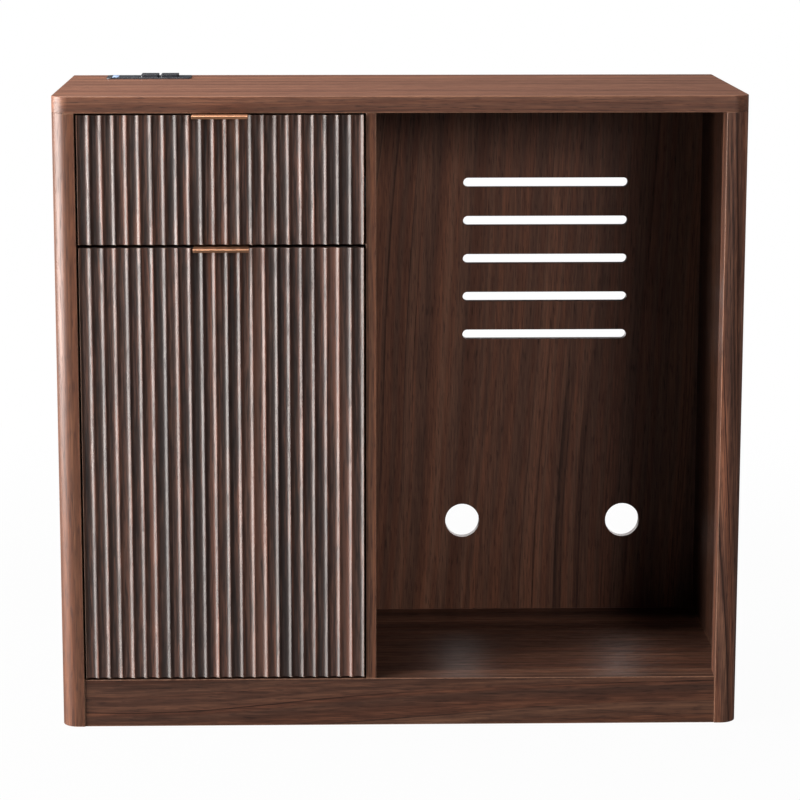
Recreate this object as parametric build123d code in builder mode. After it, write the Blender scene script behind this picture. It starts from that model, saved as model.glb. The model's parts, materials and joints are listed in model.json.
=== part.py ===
from build123d import *
import os
from math import cos, radians, sin, sqrt

# Coffee bar cabinet: a fluted drawer over a fluted door on the left, an open bay on the right.
# Millimetres. +X is the viewer's right, +Y goes to the back, +Z is up.
# The origin is on the floor, in the middle of the box that holds the cabinet and its pulls.

# Outside of the cabinet
cabinet_width = 1000.0
cabinet_depth = 400.0
cabinet_height = 932.0

# Boards and posts
top_thick = 24.0
board_thick = 15.0
back_thick = 15.0
post_width = 33.5
post_depth = 38.0
corner_radius = 24.0
edge_ease = 1.0

# Plinth and divider
plinth_height = 71.0
plinth_setback = 2.0
divider_setback = 4.0

# Fluted fronts of the drawer and the door
front_width = 410.0
front_thick = 20.0
front_setback = 1.0
front_gap = 3.0
middle_gap = 5.0
drawer_front_height = 186.0
flute_count = 23
flute_depth = 4.0
flute_crest = 1.2

# Vent slots and round holes in the back panel
vent_count = 5
vent_length = 260.0
vent_height = 15.0
vent_pitch = 60.6
vent_drop = 168.5
vent_centre_x = 239.5
cable_hole_radius = 27.2
cable_hole_spacing = 257.6
cable_hole_rise = 146.5
lead_hole_radius = 15.0
lead_hole_drop = 38.0

# Edge pulls, bent from sheet
pull_width = 80.0
pull_thick = 1.5
pull_reach = 23.0
pull_lip = 5.0
pull_leg = 16.0
pull_bend = 1.5
pull_screw_spacing = 50.0
pull_screw_bite = 10.5

# Shelf in the cupboard
shelf_setback = 45.0
shelf_side_gap = 1.0
shelf_back_gap = 2.0
shelf_pin_radius = 2.5
shelf_pin_depth = 8.0
shelf_pin_reach = 9.0
shelf_pin_width = 10.0
shelf_pin_height = 5.0
shelf_hole_pitch = 32.0
shelf_pin_inset = 50.0

# Drawer box
box_board = 12.0
box_height = 115.0
box_back_gap = 19.0
box_bottom_thick = 5.0
box_groove_rise = 10.0
box_groove_depth = 6.0
box_rail_gap = 4.0
front_screw_spread = 246.0
front_screw_low = 35.0
front_screw_high = 30.0
front_screw_bite = 10.0
front_head = 2.0

# Rail between drawer and door
rail_depth = 60.0
rail_door_gap = 2.0
rail_back_gap = 3.0

# Telescopic runners: a channel on the cabinet, a link, and a slide on the drawer
runner_space = 12.7
runner_height = 45.0
runner_wall = 1.2
runner_play = 0.3
runner_lip = 3.0
runner_clear = 2.0
runner_setback = 2.0
runner_back_gap = 12.0
runner_screw_front = 35.0
runner_screw_back = 60.0
side_screw_bite = 10.0
divider_bite = 12.0
slide_screw_length = 9.0
packer_height = 60.0

# Concealed door hinges
hinge_inset = 100.0
cup_radius = 17.5
cup_depth = 12.5
cup_wall = 1.2
cup_floor = 1.0
cup_play = 0.2
cup_pin_offset = 6.5
flange_thick = 1.2
flange_width = 22.0
flange_length = 60.0
flange_corner = 8.8
flange_rim = 1.5
flange_screw_spacing = 48.0
cup_screw_bite = 10.0
ear_thick = 3.0
ear_half = 4.0
pin_radius = 1.75
knuckle_radius = 3.0
hinge_play = 0.3
corner_clear = 0.6
arm_thick = 2.5
arm_height = 17.0
arm_clear = 1.0
arm_root = 8.5
arm_root_angle = 72
arm_exit_angle = 54
arm_waist = 0.66
arm_bulge = 1.02
arm_bend = 2.0
arm_crank = 4.0
arm_joggle = 6.0
arm_base_length = 44.0
plate_thick = 4.5
plate_length = 40.0
plate_height = 18.0
plate_setback = 2.0
plate_screw_back = 10.0
wing_thick = 2.5
wing_height = 50.0
wing_length = 20.0
wing_screw_bite = 8.0
hinge_packer_height = 80.0
hinge_packer_end = 10.0

# Magnetic catch
catch_width = 14.0
catch_depth = 28.0
catch_height = 44.0
catch_drop = 70.0
catch_screw_inset = 8.4
catch_head = 3.0
catch_bite = 10.0
magnet_reach = 2.0
magnet_thick = 1.6
magnet_spacing = 5.0
magnet_height = 28.0
strike_thick = 1.5
strike_gap = 0.3
strike_margin = 1.0
strike_short = 4.0
strike_bite = 9.0

# Power outlet set into the top
outlet_length = 130.0
outlet_depth = 54.0
outlet_left = 56.0
outlet_back = 25.0
outlet_radius = 6.0
bezel_thick = 2.0
bezel_lip = 6.0
housing_drop = 35.0
housing_wall = 2.0
housing_play = 0.5
block_margin = 20.0
block_width = 26.4
block_depth = 38.0
block_rise = 4.0
block_gap = 4.0
block_corner = 2.0
block_ease = 0.4
window_play = 0.3
blade_length = 8.0
blade_width = 2.0
blade_spacing = 12.7
earth_radius = 2.4
earth_offset = 10.4
socket_depth = 16.0
insert_width = 30.0
port_width = 13.0
port_height = 5.6
port_depth = 12.0
port_pitch = 19.0
tongue_width = 10.9
tongue_thick = 1.8
tongue_gap = 0.8
tongue_recess = 1.0
clip_reach = 12.0
clip_width = 12.0
clip_offset = 4.0
clip_thick = 3.0
clip_drop = 14.0
gland_radius = 6.0
gland_nut_radius = 9.0
gland_nut = 5.0
gland_bore = 3.6
gland_reach = 10.0
gland_rise = 1.0

# Fasteners
fit = 0.05
hole_spare = 1.0
cam_radius = 7.5
cam_depth = 12.5
cam_inset = 24.0
top_cam_end = 45.0
floor_cam_front = 55.0
floor_cam_back = 60.0
bolt_radius = 3.0
bolt_bite = 11.0
dowel_radius = 4.0
dowel_length = 30.0
divider_dowel_bite = 10.0
post_dowel_end = 120.0
plinth_dowel_edge = 21.3
screw_radius = 1.75
small_head_radius = 3.2
small_head = 1.2
long_screw_radius = 2.5
long_head_radius = 4.5
long_head = 3.0
divider_screw_front = 40.0
divider_screw_back = 60.0
divider_screw_bite = 30.0
back_screw_bite = 25.0
back_screw_low = 90.0
back_screw_high = 60.0
back_screw_end = 90.0
back_screw_step = 200.0
cross_rail_gap = 10.0

# Faces that the pieces share, from left to right
left_x = -cabinet_width / 2
right_x = cabinet_width / 2
side_in_left = left_x + board_thick
side_in_right = right_x - board_thick
post_in_left = left_x + post_width
post_in_right = right_x - post_width
front_x0 = post_in_left + front_gap
front_x1 = front_x0 + front_width
front_mid_x = (front_x0 + front_x1) / 2
divider_x0 = front_x1 + front_gap
divider_x1 = divider_x0 + board_thick
divider_mid_x = (divider_x0 + divider_x1) / 2

# From front to back
back_y = (cabinet_depth + pull_reach - front_setback) / 2
front_y = back_y - cabinet_depth
back_in_y = back_y - back_thick
post_back_y = front_y + post_depth
plinth_y = front_y + plinth_setback
plinth_back_y = plinth_y + board_thick
face_y = front_y + front_setback
face_back_y = face_y + front_thick

# From the floor up
floor_z = plinth_height
floor_under_z = floor_z - board_thick
top_z = cabinet_height
top_under_z = top_z - top_thick
door_z0 = floor_z + front_gap
drawer_z1 = top_under_z - front_gap
drawer_z0 = drawer_z1 - drawer_front_height
door_z1 = drawer_z0 - middle_gap
rail_z0 = door_z1 + rail_door_gap
rail_z1 = rail_z0 + board_thick
box_z0 = rail_z1 + box_rail_gap
box_z1 = box_z0 + box_height
runner_z = box_z0 + box_height / 2
shelf_z0 = (floor_z + rail_z0) / 2

os.makedirs("parts", exist_ok=True)


def save(piece, name):
    piece.part.label = name
    export_step(piece.part, f"parts/{name}.step")


def level(z):
    # Points are (x, y); a positive length goes up
    return Plane.XY.offset(z)


def upright(y):
    # Points are (x, z); a positive length goes to the front
    return Plane.XZ.offset(-y)


def across(x):
    # Points are (y, z); a positive length goes to the right
    return Plane.YZ.offset(x)


def block(x0, x1, y0, y1, z0, z1, mode=Mode.ADD):
    with BuildSketch(level(z0)) as base:
        with Locations(((x0 + x1) / 2, (y0 + y1) / 2)):
            Rectangle(abs(x1 - x0), abs(y1 - y0))
    extrude(base.sketch, amount=z1 - z0, mode=mode)


def pegs(plane, points, radius, length, mode=Mode.ADD):
    with BuildSketch(plane) as ends:
        with Locations(*points):
            Circle(radius)
    extrude(ends.sketch, amount=length, mode=mode)


def drill(plane, points, radius, length):
    pegs(plane, points, radius, length, Mode.SUBTRACT)


def screws(plane, points, head_radius, head, shank_radius, length):
    # The head starts on the plane and the shank follows it
    pegs(plane, points, head_radius, head)
    pegs(plane, points, shank_radius, length)


def screw_holes(plane, points, head_radius, head, shank_radius, length):
    drill(plane, points, head_radius + fit, head)
    drill(plane, points, shank_radius + fit, length)


# Fastener places shared by the boards that they join

top_cam_y = (post_back_y + top_cam_end, back_in_y - top_cam_end)
top_cam_z = top_under_z - cam_inset
side_cam_y = (plinth_back_y + floor_cam_front, back_in_y - floor_cam_back)
floor_mid_z = (floor_z + floor_under_z) / 2
bolt_length = cam_inset - cam_radius - fit

post_dowel_z = (post_dowel_end, top_under_z / 2, top_under_z - post_dowel_end)
plinth_dowel_z = (plinth_dowel_edge, plinth_height - plinth_dowel_edge)
plinth_mid_y = (plinth_y + plinth_back_y) / 2
rail_dowel = ((face_back_y + rail_back_gap + post_back_y) / 2, (rail_z0 + rail_z1) / 2)

divider_screw_y = (
    plinth_back_y + divider_screw_front,
    (plinth_back_y + back_in_y) / 2,
    back_in_y - divider_screw_back,
)
divider_screw_length = board_thick + divider_screw_bite
back_screw_length = back_thick + back_screw_bite
divider_back_screws = [
    (divider_mid_x, z)
    for z in (floor_z + back_screw_low, cabinet_height / 2, top_under_z - back_screw_high)
]
floor_back_screws = [
    (side * (right_x - inset), floor_mid_z)
    for side in (-1, 1)
    for inset in (back_screw_end, back_screw_end + back_screw_step)
]
back_screw_points = divider_back_screws + floor_back_screws

shelf_pin_y = (front_y + shelf_setback + shelf_pin_inset, back_in_y - shelf_pin_inset)
shelf_pin_z = shelf_z0 - shelf_pin_height / 2
shelf_holes = [
    (y, shelf_pin_z + step * shelf_hole_pitch)
    for y in shelf_pin_y
    for step in (-1, 0, 1)
]

runner_y0 = face_back_y + runner_setback
runner_y1 = back_in_y - runner_back_gap
runner_length = runner_y1 - runner_y0
runner_screw_y = (runner_y0 + runner_screw_front, runner_y1 - runner_screw_back)
runner_screw_points = [(y, runner_z) for y in runner_screw_y]
packer_thick = post_width - board_thick
side_screw_length = packer_thick + side_screw_bite


# Top slab, with the opening for the power outlet and holes for the cam bolts

outlet_x0 = left_x + outlet_left
outlet_x1 = outlet_x0 + outlet_length
outlet_y1 = back_y - outlet_back
outlet_y0 = outlet_y1 - outlet_depth
housing_x0 = outlet_x0 + bezel_lip
housing_x1 = outlet_x1 - bezel_lip
housing_y0 = outlet_y0 + bezel_lip
housing_y1 = outlet_y1 - bezel_lip
housing_z0 = top_under_z - housing_drop
post_centre = (post_in_right / 2 + right_x / 2, (front_y + post_back_y) / 2)
upright_x = (left_x + board_thick / 2, right_x - board_thick / 2, divider_mid_x)

with BuildPart() as top_slab:
    with BuildSketch(level(top_under_z)) as slab_plan:
        with Locations((0, (front_y + back_y) / 2)):
            Rectangle(cabinet_width, cabinet_depth)
        fillet(slab_plan.vertices().group_by(Axis.Y)[0], corner_radius)
    extrude(amount=top_thick)
    rims = top_slab.edges().group_by(Axis.Z)
    fillet(rims[0] + rims[-1], edge_ease)
    block(
        housing_x0 - housing_play, housing_x1 + housing_play,
        housing_y0 - housing_play, housing_y1 + housing_play,
        top_under_z, top_z, Mode.SUBTRACT,
    )
    drill(level(top_under_z), [(x, y) for x in upright_x for y in top_cam_y], bolt_radius + fit, bolt_bite)
    drill(
        level(top_under_z),
        [(side * post_centre[0], post_centre[1]) for side in (-1, 1)],
        dowel_radius + fit, dowel_length / 2,
    )
save(top_slab, "top_slab")


# Front corner posts: one large round edge outside, a small one inside

for side, name in ((-1, "left"), (1, "right")):
    outer_x = side * right_x
    inner_x = side * post_in_right
    with BuildPart() as front_post:
        with BuildSketch(level(0)) as post_plan:
            with Locations(((outer_x + inner_x) / 2, (front_y + post_back_y) / 2)):
                Rectangle(post_width, post_depth)
            corners = post_plan.vertices()
            fillet(corners.sort_by_distance((outer_x, front_y))[0], corner_radius)
            corners = post_plan.vertices()
            fillet(corners.sort_by_distance((inner_x, front_y))[0], edge_ease)
        extrude(amount=top_under_z)
        drill(
            upright(post_back_y),
            [(side * upright_x[1], z) for z in post_dowel_z],
            dowel_radius + fit, dowel_length / 2,
        )
        drill(
            across(inner_x), [(plinth_mid_y, z) for z in plinth_dowel_z],
            dowel_radius + fit, side * dowel_length / 2,
        )
        drill(
            level(top_under_z), [(side * post_centre[0], post_centre[1])],
            dowel_radius + fit, -dowel_length / 2,
        )
        if name == "left":
            drill(across(inner_x), [rail_dowel], dowel_radius + fit, side * dowel_length / 2)
    save(front_post, f"{name}_front_post")


# Side panels, behind the posts and level with their outer faces

hinge_z = (door_z0 + hinge_inset, door_z1 - hinge_inset)
pin_depth = front_thick - cup_depth + cup_play + cup_floor + hinge_play + knuckle_radius
corner_swing = front_gap - corner_clear
pin_inset = (pin_depth**2 - corner_swing**2) / (2 * corner_swing)
pin_x = front_x0 + pin_inset
pin_y = face_y + pin_depth
door_sweep = sqrt(pin_inset**2 + max(pin_depth, front_thick - pin_depth) ** 2)
arm_reach = door_sweep + arm_clear + arm_thick / 2
arm_base_y = pin_y + arm_reach + arm_thick + arm_crank
plate_y0 = arm_base_y + plate_setback
plate_y1 = plate_y0 + plate_length
plate_mid_y = (plate_y0 + plate_y1) / 2
wing_screw_offset = (plate_height / 2 + wing_height / 2) / 2
wing_screws = [(plate_mid_y, z + step * wing_screw_offset) for z in hinge_z for step in (-1, 1)]
wing_screw_length = wing_thick + packer_thick + wing_screw_bite

for side, name in ((-1, "left"), (1, "right")):
    outer_x = side * right_x
    inner_x = side * side_in_right
    with BuildPart() as side_panel:
        block(outer_x, inner_x, post_back_y, back_y, 0, top_under_z)
        drill(across(inner_x), [(y, top_cam_z) for y in top_cam_y], cam_radius + fit, side * cam_depth)
        drill(
            level(top_under_z), [(side * upright_x[1], y) for y in top_cam_y],
            bolt_radius + fit, -cam_inset,
        )
        drill(across(inner_x), [(y, floor_mid_z) for y in side_cam_y], bolt_radius + fit, side * bolt_bite)
        drill(
            upright(post_back_y), [(side * upright_x[1], z) for z in post_dowel_z],
            dowel_radius + fit, -dowel_length / 2,
        )
        if name == "left":
            drill(across(inner_x), shelf_holes, shelf_pin_radius + fit, -shelf_pin_depth)
            drill(across(inner_x), runner_screw_points, screw_radius + fit, -side_screw_bite)
            drill(across(inner_x), wing_screws, screw_radius + fit, -wing_screw_bite)
    save(side_panel, f"{name}_side_panel")


# Divider between the cupboard and the open bay

catch_y0 = face_back_y + strike_thick + strike_gap
catch_z = door_z1 - catch_drop
catch_screw_point = (catch_y0 + catch_depth - catch_screw_inset, catch_z)

with BuildPart() as divider_panel:
    with BuildSketch(level(floor_z)) as divider_plan:
        with Locations((divider_mid_x, (front_y + divider_setback + back_in_y) / 2)):
            Rectangle(board_thick, back_in_y - front_y - divider_setback)
        fillet(divider_plan.vertices().group_by(Axis.Y)[0], edge_ease)
    extrude(amount=top_under_z - floor_z)
    drill(across(divider_x0), [(y, top_cam_z) for y in top_cam_y], cam_radius + fit, cam_depth)
    drill(level(top_under_z), [(divider_mid_x, y) for y in top_cam_y], bolt_radius + fit, -cam_inset)
    drill(
        level(floor_z), [(divider_mid_x, y) for y in divider_screw_y],
        long_screw_radius + fit, divider_screw_bite,
    )
    drill(upright(back_in_y), divider_back_screws, long_screw_radius + fit, back_screw_bite)
    drill(across(divider_x0), shelf_holes, shelf_pin_radius + fit, shelf_pin_depth)
    drill(across(divider_x0), runner_screw_points, screw_radius + fit, divider_bite)
    drill(across(divider_x0), [rail_dowel], dowel_radius + fit, divider_dowel_bite)
    drill(across(divider_x0), [catch_screw_point], screw_radius + fit, catch_bite)
save(divider_panel, "divider_panel")


# Plinth between the posts, and the bottom panel level with its top

with BuildPart() as plinth_board:
    block(post_in_left, post_in_right, plinth_y, plinth_back_y, 0, plinth_height)
    top_front = plinth_board.edges().group_by(Axis.Z)[-1].group_by(Axis.Y)[0]
    fillet(top_front, edge_ease)
    for side, end_x in ((-1, post_in_left), (1, post_in_right)):
        drill(
            across(end_x), [(plinth_mid_y, z) for z in plinth_dowel_z],
            dowel_radius + fit, -side * dowel_length / 2,
        )
save(plinth_board, "plinth_board")

with BuildPart() as bottom_panel:
    block(side_in_left, side_in_right, plinth_back_y, back_in_y, floor_under_z, floor_z)
    for side_x, post_x in ((side_in_left, post_in_left), (side_in_right, post_in_right)):
        block(side_x, post_x, plinth_back_y, post_back_y, floor_under_z, floor_z, Mode.SUBTRACT)
    for side, end_x in ((1, side_in_left), (-1, side_in_right)):
        drill(across(end_x), [(y, floor_mid_z) for y in side_cam_y], bolt_radius + fit, side * cam_inset)
        drill(
            level(floor_under_z), [(end_x + side * cam_inset, y) for y in side_cam_y],
            cam_radius + fit, cam_depth,
        )
    screw_holes(
        level(floor_under_z), [(divider_mid_x, y) for y in divider_screw_y],
        long_head_radius, long_head, long_screw_radius, board_thick,
    )
    drill(upright(back_in_y), floor_back_screws, long_screw_radius + fit, back_screw_bite)
save(bottom_panel, "bottom_panel")

rear_rail_y = back_in_y - board_thick

with BuildPart() as rear_base_rail:
    block(side_in_left, side_in_right, rear_rail_y, back_in_y, 0, floor_under_z)
save(rear_base_rail, "rear_base_rail")

cross_rail_x = divider_x1 + cross_rail_gap

with BuildPart() as plinth_cross_rail:
    block(cross_rail_x, cross_rail_x + board_thick, plinth_back_y, rear_rail_y, 0, floor_under_z)
save(plinth_cross_rail, "plinth_cross_rail")


# Back panel: five vent slots and two cable holes in the bay, and a hole for the outlet's lead

vent_z = [top_z - vent_drop - row * vent_pitch for row in range(vent_count)]
cable_hole_z = floor_z + cable_hole_rise
lead_hole = ((outlet_x0 + outlet_x1) / 2, top_under_z - lead_hole_drop)

with BuildPart() as back_panel:
    with BuildSketch(upright(back_in_y)):
        with Locations((0, (floor_under_z + top_under_z) / 2)):
            Rectangle(side_in_right - side_in_left, top_under_z - floor_under_z)
        with Locations(*[(vent_centre_x, z) for z in vent_z]):
            SlotOverall(vent_length, vent_height, mode=Mode.SUBTRACT)
        with Locations((vent_centre_x, cable_hole_z)):
            with GridLocations(cable_hole_spacing, 0, 2, 1):
                Circle(cable_hole_radius, mode=Mode.SUBTRACT)
        with Locations(lead_hole):
            Circle(lead_hole_radius, mode=Mode.SUBTRACT)
    extrude(amount=-back_thick)
    screw_holes(
        upright(back_y), back_screw_points,
        long_head_radius, long_head, long_screw_radius, back_thick,
    )
save(back_panel, "back_panel")

with BuildPart() as back_screws:
    screws(
        upright(back_y), back_screw_points,
        long_head_radius, long_head, long_screw_radius, back_screw_length,
    )
save(back_screws, "back_screws")

with BuildPart() as divider_screws:
    screws(
        level(floor_under_z), [(divider_mid_x, y) for y in divider_screw_y],
        long_head_radius, long_head, long_screw_radius, divider_screw_length,
    )
save(divider_screws, "divider_screws")


# Rail between the drawer and the door

rail_y0 = face_back_y + rail_back_gap

with BuildPart() as drawer_rail:
    block(post_in_left, divider_x0, rail_y0, rail_y0 + rail_depth, rail_z0, rail_z1)
    for side, end_x in ((1, post_in_left), (-1, divider_x0)):
        drill(across(end_x), [rail_dowel], dowel_radius + fit, side * dowel_length / 2)
save(drawer_rail, "drawer_rail")


# Cam locks, cam bolts and dowels that join the boards

with BuildPart() as cam_locks:
    for inner_x, side in ((side_in_left, -1), (side_in_right, 1), (divider_x0, 1)):
        pegs(across(inner_x), [(y, top_cam_z) for y in top_cam_y], cam_radius, side * cam_depth)
    for end_x, side in ((side_in_left, 1), (side_in_right, -1)):
        floor_cams = [(end_x + side * cam_inset, y) for y in side_cam_y]
        pegs(level(floor_under_z), floor_cams, cam_radius, cam_depth)
save(cam_locks, "cam_locks")

with BuildPart() as cam_bolts:
    top_bolts = [(x, y) for x in upright_x for y in top_cam_y]
    pegs(level(top_under_z - bolt_length), top_bolts, bolt_radius, bolt_length + bolt_bite)
    for end_x, side in ((side_in_left, 1), (side_in_right, -1)):
        pegs(
            across(end_x - side * bolt_bite), [(y, floor_mid_z) for y in side_cam_y],
            bolt_radius, side * (bolt_length + bolt_bite),
        )
save(cam_bolts, "cam_bolts")

with BuildPart() as dowels:
    for side in (-1, 1):
        pegs(
            upright(post_back_y + dowel_length / 2), [(side * upright_x[1], z) for z in post_dowel_z],
            dowel_radius, dowel_length,
        )
        pegs(
            across(side * (post_in_right + dowel_length / 2)), [(plinth_mid_y, z) for z in plinth_dowel_z],
            dowel_radius, -side * dowel_length,
        )
        pegs(
            level(top_under_z - dowel_length / 2), [(side * post_centre[0], post_centre[1])],
            dowel_radius, dowel_length,
        )
    pegs(across(post_in_left - dowel_length / 2), [rail_dowel], dowel_radius, dowel_length)
    pegs(
        across(divider_x0 - dowel_length / 2), [rail_dowel],
        dowel_radius, dowel_length / 2 + divider_dowel_bite,
    )
save(dowels, "dowels")


# Shelf and its four pins

with BuildPart() as cupboard_shelf:
    block(
        side_in_left + shelf_side_gap, divider_x0 - shelf_side_gap,
        front_y + shelf_setback, back_in_y - shelf_back_gap,
        shelf_z0, shelf_z0 + board_thick,
    )
    front_edges = cupboard_shelf.edges().filter_by(Axis.X).group_by(Axis.Y)[0]
    fillet(front_edges, edge_ease)
save(cupboard_shelf, "cupboard_shelf")

with BuildPart() as shelf_pins:
    for wall_x, side in ((side_in_left, 1), (divider_x0, -1)):
        pegs(
            across(wall_x), [(y, shelf_pin_z) for y in shelf_pin_y],
            shelf_pin_radius, -side * shelf_pin_depth,
        )
        for y in shelf_pin_y:
            block(
                wall_x, wall_x + side * shelf_pin_reach,
                y - shelf_pin_width / 2, y + shelf_pin_width / 2,
                shelf_z0 - shelf_pin_height, shelf_z0,
            )
save(shelf_pins, "shelf_pins")


# Fluted fronts: hollow flutes side by side, with narrow crests between them

def fluted_plan(z0):
    pitch = front_width / flute_count
    half_crest = flute_crest / 2
    with BuildSketch(level(z0)) as plan:
        with BuildLine():
            for number in range(flute_count):
                crest_x = front_x0 + number * pitch
                start = (crest_x + half_crest, face_y)
                middle = (crest_x + pitch / 2, face_y + flute_depth)
                end = (crest_x + pitch - half_crest, face_y)
                Line((crest_x - half_crest if number else crest_x, face_y), start)
                ThreePointArc(start, middle, end)
            Polyline(
                end, (front_x1, face_y), (front_x1, face_back_y),
                (front_x0, face_back_y), (front_x0, face_y),
            )
        make_face()
    return plan.sketch


pull_screw_x = (front_mid_x - pull_screw_spacing / 2, front_mid_x + pull_screw_spacing / 2)
cup_x = pin_x - cup_pin_offset
cup_points = [(cup_x, z) for z in hinge_z]
cup_screws = [(cup_x, z + step * flange_screw_spacing / 2) for z in hinge_z for step in (-1, 1)]
strike_x0 = divider_x0 - catch_width - strike_margin
strike_x1 = front_x1 - strike_margin
strike_point = ((strike_x0 + strike_x1) / 2, catch_z)
strike_height = catch_height - strike_short

with BuildPart() as door_panel:
    extrude(fluted_plan(door_z0), amount=door_z1 - door_z0)
    fillet(door_panel.edges().filter_by(Axis.X).group_by(Axis.Z)[-1].sort_by(Axis.Y)[-1], edge_ease)
    drill(upright(face_back_y), cup_points, cup_radius, cup_depth)
    drill(upright(face_back_y), cup_screws, screw_radius + fit, cup_screw_bite + hole_spare)
    drill(
        upright(face_back_y), [(x, door_z1 - pull_leg / 2) for x in pull_screw_x],
        screw_radius + fit, pull_screw_bite,
    )
    drill(upright(face_back_y), [strike_point], screw_radius + fit, strike_bite + hole_spare)
save(door_panel, "door_panel")


# Edge pulls: a leg behind the front, a plate over its top edge and a lip turned down

front_screw_points = [
    (front_mid_x + side * front_screw_spread / 2, z)
    for side in (-1, 1)
    for z in (box_z0 + front_screw_low, box_z1 - front_screw_high)
]

with BuildPart() as drawer_front:
    extrude(fluted_plan(drawer_z0), amount=drawer_front_height)
    fillet(drawer_front.edges().filter_by(Axis.X).group_by(Axis.Z)[-1].sort_by(Axis.Y)[-1], edge_ease)
    drill(
        upright(face_back_y), [(x, drawer_z1 - pull_leg / 2) for x in pull_screw_x],
        screw_radius + fit, pull_screw_bite,
    )
    drill(
        upright(face_back_y), front_screw_points,
        screw_radius + fit, front_screw_bite + hole_spare,
    )
save(drawer_front, "drawer_front")


def pull_section(edge_z):
    # The line runs through the middle of the sheet
    half = pull_thick / 2
    with BuildSketch(across(front_mid_x - pull_width / 2)) as section_plan:
        with BuildLine():
            FilletPolyline(
                (face_back_y + half, edge_z - pull_leg),
                (face_back_y + half, edge_z + half),
                (face_y - pull_reach + half, edge_z + half),
                (face_y - pull_reach + half, edge_z + pull_thick - pull_lip),
                radius=pull_bend,
            )
        trace(line_width=pull_thick)
    return section_plan.sketch


for name, edge_z in (("drawer", drawer_z1), ("door", door_z1)):
    points = [(x, edge_z - pull_leg / 2) for x in pull_screw_x]
    back_of_leg = upright(face_back_y + pull_thick)
    with BuildPart() as pull:
        extrude(pull_section(edge_z), amount=pull_width)
        drill(back_of_leg, points, small_head_radius + fit, pull_thick)
    save(pull, f"{name}_pull")
    with BuildPart() as pull_screws:
        screws(
            back_of_leg, points,
            small_head_radius, pull_thick, screw_radius, pull_thick + pull_screw_bite,
        )
    save(pull_screws, f"{name}_pull_screws")


# Door hinges: the cup turns on a pin that a bent arm holds clear of the door's swing

ear_offset = arm_height / 2 + hinge_play
bowl_depth = cup_depth - cup_play
cup_floor_y = face_back_y - bowl_depth + cup_floor

with BuildPart() as hinge_cups:
    for z in hinge_z:
        with BuildSketch(upright(face_back_y)) as flange_plan:
            with Locations((cup_x, z)):
                RectangleRounded(flange_width, flange_length, flange_corner)
                Circle(cup_radius + flange_rim)
        extrude(flange_plan.sketch, amount=-flange_thick)
        pegs(upright(face_back_y), [(cup_x, z)], cup_radius - fit, bowl_depth)
        drill(
            upright(face_back_y + flange_thick), [(cup_x, z)],
            cup_radius - cup_wall, flange_thick + bowl_depth - cup_floor,
        )
        for side in (-1, 1):
            block(
                pin_x - ear_half, pin_x + ear_half, cup_floor_y, pin_y + ear_half,
                z + side * ear_offset, z + side * (ear_offset + ear_thick),
            )
        drill(
            level(z - ear_offset - ear_thick), [(pin_x, pin_y)],
            pin_radius + fit, 2 * (ear_offset + ear_thick),
        )
    drill(
        upright(face_back_y + flange_thick), cup_screws, small_head_radius + fit, flange_thick,
    )
save(hinge_cups, "hinge_cups")

with BuildPart() as hinge_cup_screws:
    screws(
        upright(face_back_y + flange_thick), cup_screws,
        small_head_radius, flange_thick, screw_radius, flange_thick + cup_screw_bite,
    )
save(hinge_cup_screws, "hinge_cup_screws")

with BuildPart() as hinge_pins:
    for z in hinge_z:
        pegs(
            level(z - ear_offset - ear_thick), [(pin_x, pin_y)],
            pin_radius, 2 * (ear_offset + ear_thick),
        )
save(hinge_pins, "hinge_pins")


def from_pin(reach, angle):
    # Plan point at a distance from the hinge pin; 90 degrees is straight back
    return (pin_x + reach * cos(radians(angle)), pin_y + reach * sin(radians(angle)))


arm_base_x = post_in_left + plate_thick + arm_thick / 2
arm_outer = from_pin(arm_reach * arm_bulge, arm_exit_angle)
arm_turn_y = pin_y + arm_reach + arm_clear
arm_end_y = arm_base_y + arm_base_length
arm_line = (
    (pin_x, pin_y),
    from_pin(arm_root, arm_root_angle),
    from_pin(arm_reach * arm_waist, arm_exit_angle),
    arm_outer,
    (arm_outer[0] - arm_crank, arm_turn_y),
    (arm_base_x + arm_joggle, arm_turn_y),
    (arm_base_x, arm_base_y),
    (arm_base_x, arm_end_y),
)
arm_screw_points = [(plate_y1 - plate_screw_back, z) for z in hinge_z]

with BuildPart() as hinge_arms:
    for z in hinge_z:
        with BuildSketch(level(z - arm_height / 2)) as arm_plan:
            with BuildLine():
                FilletPolyline(*arm_line, radius=arm_bend)
            trace(line_width=arm_thick)
            with Locations((pin_x, pin_y)):
                Circle(knuckle_radius)
        extrude(arm_plan.sketch, amount=arm_height)
        drill(level(z - arm_height / 2), [(pin_x, pin_y)], pin_radius + fit, arm_height)
    drill(
        across(arm_base_x + arm_thick / 2), arm_screw_points, screw_radius + fit, -arm_thick,
    )
save(hinge_arms, "hinge_arms")

with BuildPart() as hinge_plates:
    for z in hinge_z:
        block(
            post_in_left, post_in_left + plate_thick, plate_y0, plate_y1,
            z - plate_height / 2, z + plate_height / 2,
        )
        block(
            post_in_left, post_in_left + wing_thick,
            plate_mid_y - wing_length / 2, plate_mid_y + wing_length / 2,
            z - wing_height / 2, z + wing_height / 2,
        )
    drill(across(post_in_left + wing_thick), wing_screws, screw_radius + fit, -wing_thick)
    drill(across(post_in_left + plate_thick), arm_screw_points, screw_radius + fit, -plate_thick)
save(hinge_plates, "hinge_plates")

with BuildPart() as hinge_screws:
    pegs(across(post_in_left + wing_thick), wing_screws, small_head_radius, small_head)
    pegs(across(post_in_left + wing_thick), wing_screws, screw_radius, -wing_screw_length)
    pegs(across(arm_base_x + arm_thick / 2), arm_screw_points, small_head_radius, small_head)
    pegs(
        across(arm_base_x + arm_thick / 2), arm_screw_points,
        screw_radius, -(arm_thick + plate_thick - fit),
    )
save(hinge_screws, "hinge_screws")

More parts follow.
